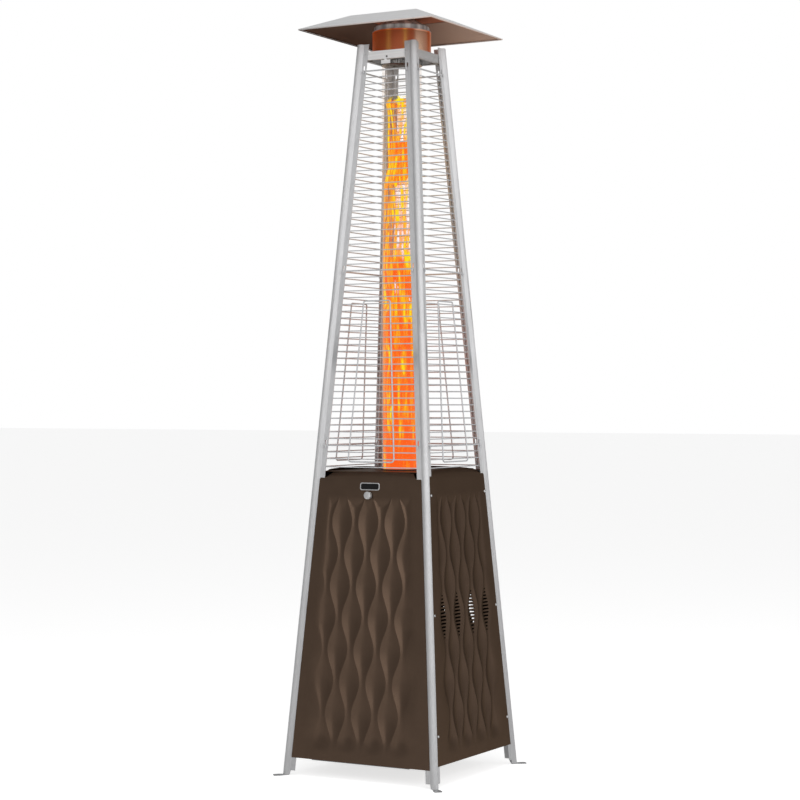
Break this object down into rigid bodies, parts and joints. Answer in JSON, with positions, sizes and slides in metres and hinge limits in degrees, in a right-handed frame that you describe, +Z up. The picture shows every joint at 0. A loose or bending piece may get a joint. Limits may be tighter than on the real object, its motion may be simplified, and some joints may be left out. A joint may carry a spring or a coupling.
{
  "type": "pyramid patio heater",
  "caption": "Free-standing gas patio heater: tapering steel frame, pressed lower cabinet with a tilting door, wire guards round a glass flame tube, hipped reflector.",
  "frame": {"origin": "centre of the heater's footprint, on the floor under the foot tabs", "axes": "+Z up, front door faces -Y, the panel on its right faces +X"},
  "size_m": [0.5712, 0.5712, 2.2795],
  "materials": {
    "satin_steel": "fine satin, neutral grey",
    "wire_steel": "drawn wire, satin",
    "brown_paint": "dark bronze brown powder coat, low gloss",
    "tube_glass": "clear, polished",
    "screen": "heated perforated steel, orange red",
    "bright_chrome": "bright",
    "badge_black": "plain black plate with no text",
    "seal_rubber": "matt black silicone",
    "burner_iron": "dark, heat stained",
    "brass_parts": "machined",
    "ceramic_parts": null,
    "galvanised": "dull galvanised sheet",
    "black_plastic": "matt, moulded",
    "red_plastic": "moulded"
  },
  "bodies": {
    "root": {"leg_front_left": "satin_steel", "leg_front_right": "satin_steel", "leg_rear_left": "satin_steel", "leg_rear_right": "satin_steel", "foot_front_left": "satin_steel", "foot_front_right": "satin_steel", "foot_rear_left": "satin_steel", "foot_rear_right": "satin_steel", "right_panel": "brown_paint", "rear_panel": "brown_paint", "left_panel": "brown_paint", "base_plate": "brown_paint", "cylinder_ring": "brown_paint", "door_sill": "satin_steel", "deck_plate": "brown_paint", "magnet_catch": "black_plastic", "control_box": "galvanised", "gas_valve": "brass_parts", "inlet_fitting": "brass_parts", "igniter_body": "black_plastic", "tilt_switch": "black_plastic", "burner_pan": "satin_steel", "burner_head": "burner_iron", "burner_pipe": "brass_parts", "pilot_burner": "brass_parts", "spark_electrode": "ceramic_parts", "thermocouple": "brass_parts", "tube_seat": "seal_rubber", "glass_tube": "tube_glass", "tube_collar": "satin_steel", "guard_front": "wire_steel", "guard_right": "wire_steel", "guard_rear": "wire_steel", "guard_left": "wire_steel", "guard_loop_front": "wire_steel", "guard_loop_right": "wire_steel", "guard_loop_rear": "wire_steel", "guard_loop_left": "wire_steel", "top_bar_front": "satin_steel", "top_bar_right": "satin_steel", "top_bar_rear": "satin_steel", "top_bar_left": "satin_steel", "top_plate": "satin_steel", "emitter_screen": "screen", "emitter_cap": "satin_steel", "reflector": "satin_steel", "reflector_stud_1": "satin_steel", "reflector_stud_2": "satin_steel", "reflector_stud_3": "satin_steel", "reflector_nut_1": "satin_steel", "reflector_nut_2": "satin_steel", "reflector_nut_3": "satin_steel"},
    "door": {"front_door": "brown_paint", "door_knob": "bright_chrome", "badge_plate": "badge_black", "door_strike": "satin_steel"},
    "control_stem": {"valve_stem": "brass_parts"},
    "control_dial": {"control_knob": "black_plastic"},
    "igniter": {"igniter_button": "red_plastic"}
  },
  "joints": [
    {"name": "door_tilt", "type": "hinge", "parent": "root", "child": "door", "pos_m": [0, -0.25017, 0.053], "axis": [1, 0, 0], "range_deg": [0, 30]},
    {"name": "control_push", "type": "slide", "parent": "root", "child": "control_stem", "axis": [0, 1, 0], "range_m": [0, 0.005], "stiffness_N_per_m": 800},
    {"name": "control_turn", "type": "hinge", "parent": "control_stem", "child": "control_dial", "pos_m": [-0.042, -0.1565, 0.835], "axis": [0, 1, 0], "range_deg": [-180, 0]},
    {"name": "igniter_push", "type": "slide", "parent": "root", "child": "igniter", "axis": [0, 1, 0], "range_m": [0, 0.006], "stiffness_N_per_m": 900}
  ]
}
